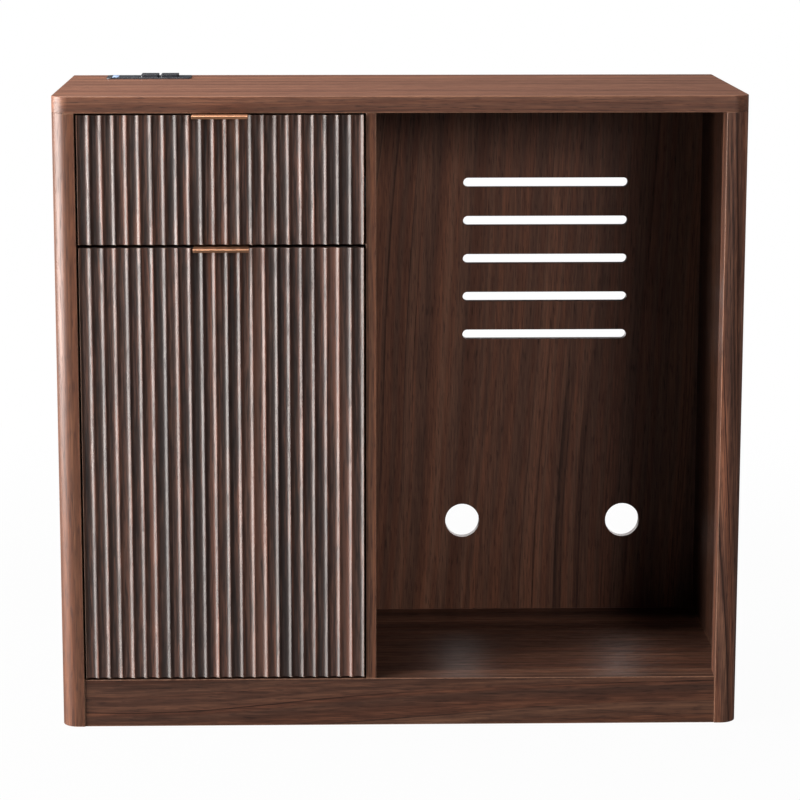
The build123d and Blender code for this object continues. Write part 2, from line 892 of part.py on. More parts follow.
with BuildPart() as hinge_packers:
    for z in hinge_z:
        block(
            side_in_left, post_in_left, post_back_y, plate_y1 + hinge_packer_end,
            z - hinge_packer_height / 2, z + hinge_packer_height / 2,
        )
    drill(across(post_in_left), wing_screws, screw_radius + fit, -packer_thick)
save(hinge_packers, "hinge_packers")


# Magnetic catch on the divider, and its strike plate on the door

catch_face = across(divider_x0 - catch_width)

with BuildPart() as magnetic_catch:
    block(
        divider_x0 - catch_width, divider_x0, catch_y0 + magnet_reach, catch_y0 + catch_depth,
        catch_z - catch_height / 2, catch_z + catch_height / 2,
    )
    for side in (-1, 1):
        pole_x = divider_x0 - catch_width / 2 + side * magnet_spacing / 2
        block(
            pole_x - magnet_thick / 2, pole_x + magnet_thick / 2, catch_y0, catch_y0 + magnet_reach,
            catch_z - magnet_height / 2, catch_z + magnet_height / 2,
        )
    screw_holes(
        catch_face, [catch_screw_point],
        small_head_radius, catch_head, screw_radius, catch_width,
    )
save(magnetic_catch, "magnetic_catch")

with BuildPart() as catch_screw:
    screws(
        catch_face, [catch_screw_point],
        small_head_radius, catch_head, screw_radius, catch_width + catch_bite,
    )
save(catch_screw, "catch_screw")

with BuildPart() as strike_plate:
    block(
        strike_x0, strike_x1, face_back_y, face_back_y + strike_thick,
        catch_z - strike_height / 2, catch_z + strike_height / 2,
    )
    drill(upright(face_back_y + strike_thick), [strike_point], small_head_radius + fit, strike_thick)
save(strike_plate, "strike_plate")

with BuildPart() as strike_screw:
    screws(
        upright(face_back_y + strike_thick), [strike_point],
        small_head_radius, strike_thick, screw_radius, strike_thick + strike_bite,
    )
save(strike_screw, "strike_screw")


# Drawer box: sides full length, front and back between them, bottom in grooves

box_x0 = post_in_left + runner_space
box_x1 = divider_x0 - runner_space
box_y1 = back_in_y - box_back_gap
groove_z = box_z0 + box_groove_rise
bottom_top_z = groove_z + box_bottom_thick
inner_x0 = box_x0 + box_board
inner_x1 = box_x1 - box_board

for name, outer_x, side in (("left", box_x0, 1), ("right", box_x1, -1)):
    with BuildPart() as box_side:
        block(outer_x, outer_x + side * box_board, face_back_y, box_y1, box_z0, box_z1)
        block(
            outer_x + side * (box_board - box_groove_depth), outer_x + side * box_board,
            face_back_y + box_board - box_groove_depth, box_y1,
            groove_z, bottom_top_z, Mode.SUBTRACT,
        )
        drill(
            across(outer_x), runner_screw_points,
            screw_radius + fit, side * (slide_screw_length + hole_spare),
        )
    save(box_side, f"drawer_{name}_side")

with BuildPart() as drawer_box_front:
    block(inner_x0, inner_x1, face_back_y, face_back_y + box_board, box_z0, box_z1)
    block(
        inner_x0, inner_x1,
        face_back_y + box_board - box_groove_depth, face_back_y + box_board,
        groove_z, bottom_top_z, Mode.SUBTRACT,
    )
    drill(upright(face_back_y + box_board), front_screw_points, screw_radius + fit, box_board)
save(drawer_box_front, "drawer_box_front")

with BuildPart() as drawer_box_back:
    block(inner_x0, inner_x1, box_y1 - box_board, box_y1, bottom_top_z, box_z1)
save(drawer_box_back, "drawer_box_back")

with BuildPart() as drawer_bottom:
    block(
        inner_x0 - box_groove_depth, inner_x1 + box_groove_depth,
        face_back_y + box_board - box_groove_depth, box_y1,
        groove_z, bottom_top_z,
    )
save(drawer_bottom, "drawer_bottom")

with BuildPart() as drawer_front_screws:
    pegs(upright(face_back_y + box_board), front_screw_points, small_head_radius, -front_head)
    pegs(
        upright(face_back_y + box_board), front_screw_points,
        screw_radius, box_board + front_screw_bite,
    )
save(drawer_front_screws, "drawer_front_screws")


# Telescopic runners, in section from the cabinet's face towards the drawer

def runner_part(face_x, side, y1, length, bars):
    # Each bar is (from, to, low, high): distances from the cabinet's face and from mid height
    with BuildSketch(upright(y1)) as profile:
        for near, far, low, high in bars:
            x = face_x + side * (near + far) / 2
            with Locations((x, runner_z + (low + high) / 2)):
                Rectangle(far - near, high - low)
    extrude(profile.sketch, amount=length)


def channel_bars(near, far, half, lip):
    wall = runner_wall
    bars = [(near, near + wall, -half, half)]
    for low, high in ((-half, wall - half), (half - wall, half)):
        bars.append((near, far, low, high))
    bars.append((far - wall, far, -half, -half + lip))
    bars.append((far - wall, far, half - lip, half))
    return bars


channel_half = runner_height / 2
channel_far = runner_space - runner_wall - runner_clear
link_near = runner_wall + runner_play
link_far = channel_far - runner_wall - runner_play
link_half = channel_half - runner_wall - runner_play
hat_near = link_near + runner_wall + runner_play
hat_half = link_half - runner_wall - runner_play
neck_half = link_half - runner_lip - runner_play

hat_bars = [
    (runner_space - runner_wall, runner_space, -neck_half, neck_half),
    (hat_near, runner_space, -neck_half, runner_wall - neck_half),
    (hat_near, runner_space, neck_half - runner_wall, neck_half),
    (hat_near, hat_near + runner_wall, -hat_half, runner_wall - neck_half),
    (hat_near, hat_near + runner_wall, neck_half - runner_wall, hat_half),
]

for name, face_x, side in (("left", post_in_left, 1), ("right", divider_x0, -1)):
    with BuildPart() as runner_channel:
        runner_part(
            face_x, side, runner_y1, runner_length,
            channel_bars(0, channel_far, channel_half, runner_lip),
        )
        drill(across(face_x), runner_screw_points, small_head_radius + fit, side * runner_wall)
    save(runner_channel, f"{name}_runner_channel")
    with BuildPart() as runner_link:
        runner_part(
            face_x, side, runner_y1, runner_length,
            channel_bars(link_near, link_far, link_half, runner_lip),
        )
    save(runner_link, f"{name}_runner_link")
    with BuildPart() as runner_slide:
        runner_part(face_x, side, runner_y1, runner_length, hat_bars)
        drill(
            across(face_x + side * (runner_space - runner_wall)), runner_screw_points,
            small_head_radius + fit, side * runner_wall,
        )
    save(runner_slide, f"{name}_runner_slide")

with BuildPart() as runner_channel_screws:
    pegs(across(post_in_left + runner_wall), runner_screw_points, small_head_radius, -runner_wall)
    pegs(across(post_in_left), runner_screw_points, screw_radius, -side_screw_length)
    pegs(across(divider_x0 - runner_wall), runner_screw_points, small_head_radius, runner_wall)
    pegs(across(divider_x0), runner_screw_points, screw_radius, divider_bite)
save(runner_channel_screws, "runner_channel_screws")

with BuildPart() as runner_slide_screws:
    for outer_x, side in ((box_x0, 1), (box_x1, -1)):
        pegs(
            across(outer_x - side * runner_wall), runner_screw_points,
            small_head_radius, side * runner_wall,
        )
        pegs(across(outer_x), runner_screw_points, screw_radius, side * slide_screw_length)
save(runner_slide_screws, "runner_slide_screws")

with BuildPart() as runner_packer:
    block(
        side_in_left, post_in_left, post_back_y, runner_y1,
        runner_z - packer_height / 2, runner_z + packer_height / 2,
    )
    drill(across(post_in_left), runner_screw_points, screw_radius + fit, -packer_thick)
save(runner_packer, "runner_packer")


# Power outlet: housing below the top, bezel over it, two receptacles and a USB insert

outlet_mid_y = (outlet_y0 + outlet_y1) / 2
right_block_x = outlet_x1 - block_margin - block_width / 2
left_block_x = right_block_x - block_width - block_gap
insert_x = left_block_x - block_width / 2 - block_gap - insert_width / 2
block_floor_z = housing_z0 + housing_wall
block_top_z = top_z + bezel_thick + block_rise
insert_top_z = top_z + bezel_thick
gland_z = housing_z0 + gland_nut_radius + gland_rise

with BuildPart() as outlet_bezel:
    with BuildSketch(level(top_z)) as bezel_plan:
        with Locations(((outlet_x0 + outlet_x1) / 2, outlet_mid_y)):
            RectangleRounded(outlet_length, outlet_depth, outlet_radius)
    extrude(bezel_plan.sketch, amount=bezel_thick)
    fillet(outlet_bezel.edges().group_by(Axis.Z)[-1], edge_ease / 2)
    for x, width in ((right_block_x, block_width), (left_block_x, block_width), (insert_x, insert_width)):
        half = width / 2 + window_play
        deep = block_depth / 2 + window_play
        block(
            x - half, x + half, outlet_mid_y - deep, outlet_mid_y + deep,
            top_z, top_z + bezel_thick, Mode.SUBTRACT,
        )
save(outlet_bezel, "outlet_bezel")

with BuildPart() as outlet_housing:
    block(housing_x0, housing_x1, housing_y0, housing_y1, housing_z0, top_z)
    block(
        housing_x0 + housing_wall, housing_x1 - housing_wall,
        housing_y0 + housing_wall, housing_y1 - housing_wall,
        block_floor_z, top_z, Mode.SUBTRACT,
    )
    drill(across(housing_x0), [(outlet_mid_y, gland_z)], gland_radius + fit, housing_wall)
save(outlet_housing, "outlet_housing")

with BuildPart() as outlet_receptacles:
    for x in (left_block_x, right_block_x):
        with BuildSketch(level(block_floor_z)) as block_plan:
            with Locations((x, outlet_mid_y)):
                RectangleRounded(block_width, block_depth, block_corner)
        extrude(block_plan.sketch, amount=block_top_z - block_floor_z)
        with BuildSketch(level(block_top_z)) as slots:
            with Locations((x, outlet_mid_y)):
                with GridLocations(blade_spacing, 0, 2, 1):
                    Rectangle(blade_width, blade_length)
            with Locations((x, outlet_mid_y - earth_offset)):
                Circle(earth_radius)
        extrude(slots.sketch, amount=-socket_depth, mode=Mode.SUBTRACT)
    fillet(outlet_receptacles.edges().filter_by(GeomType.LINE).group_by(Axis.Z)[-1], block_ease)
save(outlet_receptacles, "outlet_receptacles")

with BuildPart() as outlet_usb_insert:
    block(
        insert_x - insert_width / 2, insert_x + insert_width / 2,
        outlet_mid_y - block_depth / 2, outlet_mid_y + block_depth / 2,
        block_floor_z, insert_top_z,
    )
    for step in (-1, 1):
        port_y = outlet_mid_y + step * port_pitch / 2
        tongue_y1 = port_y + port_height / 2 - tongue_gap
        block(
            insert_x - port_width / 2, insert_x + port_width / 2,
            port_y - port_height / 2, port_y + port_height / 2,
            insert_top_z - port_depth, insert_top_z, Mode.SUBTRACT,
        )
        block(
            insert_x - tongue_width / 2, insert_x + tongue_width / 2,
            tongue_y1 - tongue_thick, tongue_y1,
            insert_top_z - port_depth, insert_top_z - tongue_recess,
        )
save(outlet_usb_insert, "outlet_usb_insert")

clip_y0 = outlet_mid_y + clip_offset
clip_y1 = clip_y0 + clip_width

with BuildPart() as outlet_clips:
    for end_x, side in ((housing_x0, -1), (housing_x1, 1)):
        block(
            end_x, end_x + side * clip_reach, clip_y0, clip_y1,
            top_under_z - clip_thick, top_under_z,
        )
        block(
            end_x, end_x + side * clip_thick, clip_y0, clip_y1,
            top_under_z - clip_drop, top_under_z - clip_thick,
        )
save(outlet_clips, "outlet_clips")

with BuildPart() as outlet_gland:
    gland_centre = [(outlet_mid_y, gland_z)]
    pegs(across(housing_x0 + housing_wall), gland_centre, gland_radius, -(housing_wall + gland_reach))
    pegs(across(housing_x0), gland_centre, gland_nut_radius, -gland_nut)
    drill(across(housing_x0 + housing_wall), gland_centre, gland_bore, -(housing_wall + gland_reach))
save(outlet_gland, "outlet_gland")
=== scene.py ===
import json
import math

import bmesh
import bpy
from mathutils import Matrix, Vector

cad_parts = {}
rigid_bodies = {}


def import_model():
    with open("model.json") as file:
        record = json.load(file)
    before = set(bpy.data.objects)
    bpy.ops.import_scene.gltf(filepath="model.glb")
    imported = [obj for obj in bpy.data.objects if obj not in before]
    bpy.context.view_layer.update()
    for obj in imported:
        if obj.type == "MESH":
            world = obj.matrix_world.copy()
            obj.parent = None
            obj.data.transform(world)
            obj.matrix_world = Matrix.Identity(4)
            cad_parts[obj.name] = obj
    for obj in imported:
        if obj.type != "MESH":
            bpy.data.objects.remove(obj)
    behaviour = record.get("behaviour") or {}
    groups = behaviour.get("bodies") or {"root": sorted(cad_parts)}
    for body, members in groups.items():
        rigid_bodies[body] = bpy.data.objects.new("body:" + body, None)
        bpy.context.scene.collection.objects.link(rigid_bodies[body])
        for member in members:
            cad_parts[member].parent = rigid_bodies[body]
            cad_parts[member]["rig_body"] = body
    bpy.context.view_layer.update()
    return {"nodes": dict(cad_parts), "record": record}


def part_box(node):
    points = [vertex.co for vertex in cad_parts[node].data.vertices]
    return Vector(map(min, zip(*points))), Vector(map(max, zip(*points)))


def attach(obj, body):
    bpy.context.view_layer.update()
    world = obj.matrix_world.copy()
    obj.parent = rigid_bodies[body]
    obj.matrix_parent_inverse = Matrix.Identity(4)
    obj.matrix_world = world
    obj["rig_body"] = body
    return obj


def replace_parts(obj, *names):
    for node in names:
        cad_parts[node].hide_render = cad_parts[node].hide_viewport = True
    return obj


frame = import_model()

nodes = frame["nodes"]
mm = 0.001
weldReach = 0.001 * mm
slotOf = {part["node"]: part["material_slot"] for part in frame["record"]["subparts"]}
print("frame loaded:", len(nodes), "nodes")


# Small helpers for building shader trees

def addNode(tree, kind, **values):
    node = tree.nodes.new(kind)
    for name, value in values.items():
        setattr(node, name, value)
    return node


def feed(tree, socket, value):
    if isinstance(value, bpy.types.NodeSocket):
        tree.links.new(value, socket)
    else:
        socket.default_value = value


def calc(tree, operation, *values, clamp=False):
    node = addNode(tree, "ShaderNodeMath", operation=operation, use_clamp=clamp)
    for socket, value in zip(node.inputs, values):
        feed(tree, socket, value)
    return node.outputs[0]


def vectorCalc(tree, operation, *values, output=0):
    node = addNode(tree, "ShaderNodeVectorMath", operation=operation)
    for socket, value in zip(node.inputs, values):
        feed(tree, socket, value)
    return node.outputs[output]


def mixColour(tree, factor, first, second, blend="MIX"):
    node = addNode(tree, "ShaderNodeMix", data_type="RGBA", blend_type=blend)
    feed(tree, node.inputs["Factor"], factor)
    feed(tree, node.inputs[6], first)
    feed(tree, node.inputs[7], second)
    return node.outputs[2]


def remap(tree, value, low, high, newLow=0.0, newHigh=1.0):
    node = addNode(tree, "ShaderNodeMapRange", interpolation_type="SMOOTHSTEP")
    for name, item in (("Value", value), ("From Min", low), ("From Max", high),
                       ("To Min", newLow), ("To Max", newHigh)):
        feed(tree, node.inputs[name], item)
    return node.outputs["Result"]


def joinXyz(tree, x, y, z):
    node = addNode(tree, "ShaderNodeCombineXYZ")
    for socket, value in zip(node.inputs, (x, y, z)):
        feed(tree, socket, value)
    return node.outputs[0]


def splitXyz(tree, vector, axes="xyz"):
    node = addNode(tree, "ShaderNodeSeparateXYZ")
    feed(tree, node.inputs[0], vector)
    return [node.outputs["xyz".index(axis)] for axis in axes]


def noise(tree, vector, stretch, detail):
    node = addNode(tree, "ShaderNodeTexNoise")
    feed(tree, node.inputs["Vector"], vectorCalc(tree, "MULTIPLY", vector, stretch))
    node.inputs["Scale"].default_value = 1.0
    node.inputs["Detail"].default_value = detail
    return node.outputs["Fac"]


def lineNoise(tree, value, scale, detail):
    node = addNode(tree, "ShaderNodeTexNoise", noise_dimensions="1D")
    feed(tree, node.inputs["W"], value)
    node.inputs["Scale"].default_value = scale
    node.inputs["Detail"].default_value = detail
    return node.outputs["Fac"]


def centred(tree, value):
    return calc(tree, "SUBTRACT", value, 0.5)


def blended(tree, parts, shares):
    total = 0.0
    for name, share in shares.items():
        total = calc(tree, "MULTIPLY_ADD", parts[name], share, total)
    return total


def sockets(kind, *labels):
    return dict.fromkeys(labels, kind)


def newGroup(name, inputs, outputs):
    tree = bpy.data.node_groups.new(name, "ShaderNodeTree")
    for way, kinds in (("INPUT", inputs), ("OUTPUT", outputs)):
        for label, kind in kinds.items():
            tree.interface.new_socket(name=label, in_out=way, socket_type="NodeSocket" + kind)
    return tree, tree.nodes.new("NodeGroupInput").outputs, tree.nodes.new("NodeGroupOutput").inputs


def useGroup(tree, group, **values):
    node = addNode(tree, "ShaderNodeGroup", node_tree=group)
    for name, value in values.items():
        feed(tree, node.inputs[name], value)
    return node.outputs


# Wood figure: growth rings cut lengthways. Straight stripes lie far from the heart, long arches
# close over it; colour bands, thin dark veins, fibre and short pores all follow the rings.

grain = {
    # Noise in the wood: repeats per metre across, into and along the board, then its detail
    "slowWander": ((2.6, 2.6, 1.0), 1),
    "quickWander": ((24, 24, 3.5), 2),
    "streakLife": ((14, 14, 1.6), 1),
    "thread": ((210, 210, 9), 2),
    "fibre": ((430, 430, 24), 3),
    "pores": ((540, 540, 42), 1),
    "veinFade": ((6, 6, 1.3), 1),
    # Noise over the rings: repeats per metre of their radius, then its detail
    "band": (24, 1),
    "tone": (130, 2),
    "streak": (460, 2),
    "veins": (26, 1.5),
    "redness": (55, 1),
}

figure = {
    "wander": {"slow": 3.2, "quick": 0.16},
    "skew": 1.3,                # rings shift across by this much of their depth in the board
    "seedShift": 0.37,
    "streakLife": 2.4,
    "poreRange": (0.56, 0.7),
    "veinLevel": 0.56,
    "veinWidth": 0.03,
    "fadeRange": (0.38, 0.58),
    "rednessRange": (0.4, 0.62),
    "rednessApart": 5.0,        # keeps the red bands apart from the dark ones
    "redTint": (1.2, 0.9, 0.76, 1),
    "shade": {"band": 1.0, "tone": 0.6, "streak": 0.4, "thread": 0.9, "fibre": 1.0},
    "middleShade": 0.55,
    "marks": {"shade": 2.0, "vein": -0.75, "pores": -0.5},
    "relief": {"fibre": 0.7, "thread": 0.5, "pores": -1.0},
    "sheen": {"thread": 0.5, "tone": 0.5, "fibre": 0.5},
}


def buildFigureGroup():
    inputs = sockets("Float", "Across", "Depth", "Along", "Heart", "Spread", "Taper", "Drift", "Seed",
                     "Contrast", "Veins", "Red") | sockets("Color", "Dark", "Middle", "Light")
    outputs = sockets("Color", "Color") | sockets("Float", "Height", "Pores", "Sheen")
    tree, take, out = newGroup("woodFigure", inputs, outputs)
    place = joinXyz(tree, calc(tree, "ADD", take["Across"], take["Seed"]), take["Depth"], take["Along"])

    def inWood(name):
        return noise(tree, place, *grain[name])

    def overRings(name, distance):
        return lineNoise(tree, distance, *grain[name])

    # Distance of a point from the heart, which gives the ring it lies in
    parts = {"slow": centred(tree, inWood("slowWander")), "quick": centred(tree, inWood("quickWander"))}
    wander = calc(tree, "MULTIPLY", blended(tree, parts, figure["wander"]), take["Drift"])
    skew = calc(tree, "MULTIPLY_ADD", take["Depth"], figure["skew"], take["Across"])
    side = calc(tree, "ADD", calc(tree, "SUBTRACT", skew, take["Heart"]), wander)
    spread = calc(tree, "MULTIPLY", take["Spread"], take["Spread"])
    radius = calc(tree, "SQRT", calc(tree, "MULTIPLY_ADD", side, side, spread))
    radius = calc(tree, "SUBTRACT", radius, calc(tree, "MULTIPLY", take["Taper"], take["Along"]))
    radius = calc(tree, "MULTIPLY_ADD", take["Seed"], figure["seedShift"], radius)

    parts["band"] = centred(tree, overRings("band", radius))
    parts["tone"] = centred(tree, overRings("tone", radius))
    life = calc(tree, "MULTIPLY", inWood("streakLife"), figure["streakLife"])
    parts["streak"] = calc(tree, "MULTIPLY", centred(tree, overRings("streak", radius)), life)
    parts["thread"] = centred(tree, inWood("thread"))
    parts["fibre"] = centred(tree, inWood("fibre"))
    parts["pores"] = remap(tree, inWood("pores"), *figure["poreRange"])
    apart = calc(tree, "SUBTRACT", overRings("veins", radius), figure["veinLevel"])
    outside = remap(tree, calc(tree, "ABSOLUTE", apart), 0.0, figure["veinWidth"])
    vein = calc(tree, "MULTIPLY", calc(tree, "SUBTRACT", 1.0, outside), take["Veins"])
    parts["vein"] = calc(tree, "MULTIPLY", vein, remap(tree, inWood("veinFade"), *figure["fadeRange"]))

    # Shade runs from dark at 0 over middle at 1 to light at 2
    shade = blended(tree, parts, figure["shade"])
    parts["shade"] = calc(tree, "MULTIPLY_ADD", shade, take["Contrast"], figure["middleShade"])
    shade = blended(tree, parts, figure["marks"])
    low = mixColour(tree, calc(tree, "ADD", shade, 0.0, clamp=True), take["Dark"], take["Middle"])
    colour = mixColour(tree, calc(tree, "SUBTRACT", shade, 1.0, clamp=True), low, take["Light"])
    redness = overRings("redness", calc(tree, "ADD", radius, figure["rednessApart"]))
    redness = calc(tree, "MULTIPLY", remap(tree, redness, *figure["rednessRange"]), take["Red"])
    feed(tree, out["Color"], mixColour(tree, redness, colour, figure["redTint"], "MULTIPLY"))
    feed(tree, out["Height"], blended(tree, parts, figure["relief"]))
    feed(tree, out["Pores"], parts["pores"])
    feed(tree, out["Sheen"], blended(tree, parts, figure["sheen"]))
    return tree


# Edges of a box-shaped board, from its middle and half size: rubbed arrises, lighter as wear and as a
# painted highlight, the seam of the edge strip, and a mask that is 1 on its two large faces

edging = {
    "wearAndHighlightReach": 3.0 * mm,
    "wearAndHighlightPatches": ((160, 160, 160), 3),     # repeats per metre, detail
    "seamInset": 1.1 * mm,
    "seamRange": (0.1 * mm, 0.3 * mm),      # the seam fades between these distances from its middle
    "faceRange": (0.5, 0.75),
}


def buildEdgesGroup():
    tree, take, out = newGroup(
        "boardEdges", sockets("Vector", "Vector", "Normal", "Facing", "Centre", "Half"),
        sockets("Float", "WearAndHighlight", "Seam", "Face"))
    away = vectorCalc(tree, "ABSOLUTE", vectorCalc(tree, "SUBTRACT", take["Vector"], take["Centre"]))
    x, y, z = splitXyz(tree, vectorCalc(tree, "SUBTRACT", take["Half"], away))
    # The middle one of the three distances is the one to the nearest arris
    low = calc(tree, "MINIMUM", x, y)
    high = calc(tree, "MAXIMUM", x, y)
    distance = calc(tree, "MAXIMUM", low, calc(tree, "MINIMUM", high, z))
    patches = noise(tree, take["Vector"], *edging["wearAndHighlightPatches"])
    reach = calc(tree, "MULTIPLY", patches, edging["wearAndHighlightReach"])
    # The lighter band along the arrises: wear, and a painted highlight
    wearAndHighlightMask = calc(tree, "SUBTRACT", 1.0, calc(tree, "DIVIDE", distance, reach), clamp=True)
    facing = vectorCalc(tree, "DOT_PRODUCT", take["Normal"], take["Facing"], output=1)
    face = remap(tree, calc(tree, "ABSOLUTE", facing), *edging["faceRange"])
    line = calc(tree, "ABSOLUTE", calc(tree, "SUBTRACT", distance, edging["seamInset"]))
    seam = calc(tree, "SUBTRACT", 1.0, remap(tree, line, *edging["seamRange"]))
    feed(tree, out["WearAndHighlight"], wearAndHighlightMask)
    feed(tree, out["Seam"], calc(tree, "MULTIPLY", seam, face))
    feed(tree, out["Face"], face)
    return tree


# Fine lines of a brushed or drawn metal, and the grit of moulded plastic. Each is a pair of
# noises, one fine and one cloudy, with their repeats per metre and their detail.

brushed = {"Lines": ((14, 1900, 1900), 2), "Cloud": ((8, 60, 60), 2)}
moulded = {"Grit": ((2600, 2600, 2600), 2), "Cloud": ((60, 60, 60), 2)}


def buildSurfaceGroup(name, noises):
    tree, take, out = newGroup(name, sockets("Vector", "Vector"), sockets("Float", *noises))
    for label, values in noises.items():
        feed(tree, out[label], noise(tree, take["Vector"], *values))
    return tree


woodFigure = buildFigureGroup()
boardEdges = buildEdgesGroup()
brushLines = buildSurfaceGroup("brushLines", brushed)
mouldedGrit = buildSurfaceGroup("mouldedGrit", moulded)
print("shader groups built")


def newMaterial(name):
    material = bpy.data.materials.new(name)
    material.use_nodes = True
    tree = material.node_tree
    tree.nodes.clear()
    surface = addNode(tree, "ShaderNodeBsdfPrincipled")
    out = addNode(tree, "ShaderNodeOutputMaterial")
    tree.links.new(surface.outputs[0], out.inputs[0])
    place = addNode(tree, "ShaderNodeTexCoord").outputs
    return material, tree, surface.inputs, place


def bump(tree, surface, height, strength, distance):
    node = addNode(tree, "ShaderNodeBump")
    node.inputs["Strength"].default_value = strength
    node.inputs["Distance"].default_value = distance
    feed(tree, node.inputs["Height"], height)
    feed(tree, surface["Normal"], node.outputs[0])


def dress(name, material):
    mesh = nodes[name].data
    mesh.materials.clear()
    mesh.materials.append(material)


# Boards. axes gives the directions across the figure, into the board and along the grain. heart is
# where the arches run, in metres, spread how open they are, taper how fast they close. tone scales
# the colours, partly the boards' own differing tone and partly painted light and shade: one walnut
# made lighter on boards that stand in light and darker on boards in shade. The tone of the narrow
# faces scales them once more there, partly an edge strip's own tone and partly painted shade that
# keeps a front darker than its lit top.

walnut = {
    "dark": (0.023, 0.011, 0.008),
    "middle": (0.071, 0.033, 0.022),
    "light": (0.158, 0.0745, 0.045),
    "roughness": 0.4,
    "gloss": 0.27,
    # Colour of the arrises: worn wood, and a painted highlight
    "wearAndHighlightColour": (0.3, 0.16, 0.1, 1),
}

flutedFoil = {
    "dark": (0.016, 0.0085, 0.0066),
    "middle": (0.041, 0.0205, 0.015),
    "light": (0.115, 0.054, 0.037),
    "roughness": 0.53,
    "gloss": 1.0,
    "sweep": 0.86,             # how far a highlight runs on up and down a flute
    "wearAndHighlightColour": (0.25, 0.15, 0.1, 1),
}

# Tones per board are partly painted light and shade on one walnut: the top slab, back panel and right
# front post lighter, the left front post and right side panel darker
boards = {
    # The top slab's narrow faces darker: painted shade that keeps its front darker than its lit top
    "top_slab": dict(axes="yzx", heart=-0.9, drift=0.01, tone=2.0, edgeToneAndShade=0.66, veins=0.4,
                     contrast=0.6, red=0.35),
    "plinth_board": dict(axes="zyx", heart=-0.35, taper=0.02, drift=0.05, tone=0.76, veins=1.6,
                         contrast=0.8),
    "bottom_panel": dict(axes="yzx", heart=0.9, drift=0.012, tone=0.9),
    "back_panel": dict(axes="xyz", heart=0.16, spread=0.05, taper=0.06, drift=0.03, tone=1.42,
                       contrast=0.5),
    "left_front_post": dict(axes="xyz", heart=-1.4, drift=0.006, tone=0.84, veins=0.3, contrast=0.75),
    "right_front_post": dict(axes="xyz", heart=0.52, taper=0.05, drift=0.02, tone=1.42, veins=2.0,
                             contrast=0.95),
    "left_side_panel": dict(axes="yxz", heart=0.03, spread=0.04, taper=0.04, drift=0.03, tone=0.9),
    # Darker: painted shade for its inner face, which the outer face shares
    "right_side_panel": dict(axes="yxz", heart=-0.02, spread=0.05, taper=0.05, drift=0.03, tone=0.7),
    "divider_panel": dict(axes="yxz", heart=0.9, drift=0.012, tone=0.88),
    "cupboard_shelf": dict(axes="yzx", heart=0.6, drift=0.012),
    "drawer_rail": dict(axes="yzx", heart=0.6),
    "rear_base_rail": dict(axes="zyx", heart=0.6),
    "plinth_cross_rail": dict(axes="zxy", heart=0.6),
    "hinge_packers": dict(axes="yxz", heart=0.6),
    "runner_packer": dict(axes="zxy", heart=0.6),
}

frontBoards = {
    "door_panel": dict(axes="xyz", heart=-1.6, drift=0.03, contrast=1.5, veins=1.0),
    "drawer_front": dict(axes="xyz", heart=-1.6, drift=0.03, contrast=1.5, veins=1.0),
}

melamine = {
    "dark": (0.095, 0.058, 0.039),
    "middle": (0.155, 0.098, 0.068),
    "light": (0.22, 0.147, 0.104),
    "roughness": 0.5,
    "gloss": 0.35,
    "wearAndHighlightColour": (0.28, 0.2, 0.14, 1),
}

drawerBoards = {
    "drawer_box_front": dict(axes="zyx"),
    "drawer_box_back": dict(axes="zyx"),
    "drawer_left_side": dict(axes="zxy"),
    "drawer_right_side": dict(axes="zxy"),
    "drawer_bottom": dict(axes="yzx"),
}

beech = {
    "dark": (0.42, 0.27, 0.16),
    "middle": (0.6, 0.42, 0.27),
    "light": (0.7, 0.52, 0.35),
    "roughness": 0.6,
    "gloss": 0.3,
    "wearAndHighlightColour": (0.72, 0.56, 0.4, 1),
}

pegWood = {
    "dowels": dict(axes="zyx", contrast=0.6, veins=0.0),
}

# Each group's finish, and the seed of its first board; the next ones follow at seedStep

boardGroups = (
    (boards, walnut, 1.7),
    (frontBoards, flutedFoil, 41.2),
    (drawerBoards, melamine, 60.3),
    (pegWood, beech, 90.1),
)

boardSurface = {
    "seedStep": 2.31,
    "seamShade": (0.3, 0.3, 0.3, 1),
    "seamShare": 0.4,
    "wearAndHighlightShare": 0.5,
    "roughness": {"Sheen": -0.25, "Pores": 0.12, "WearAndHighlight": -0.06},
    "relief": (0.4, 0.08 * mm),         # strength, depth
}


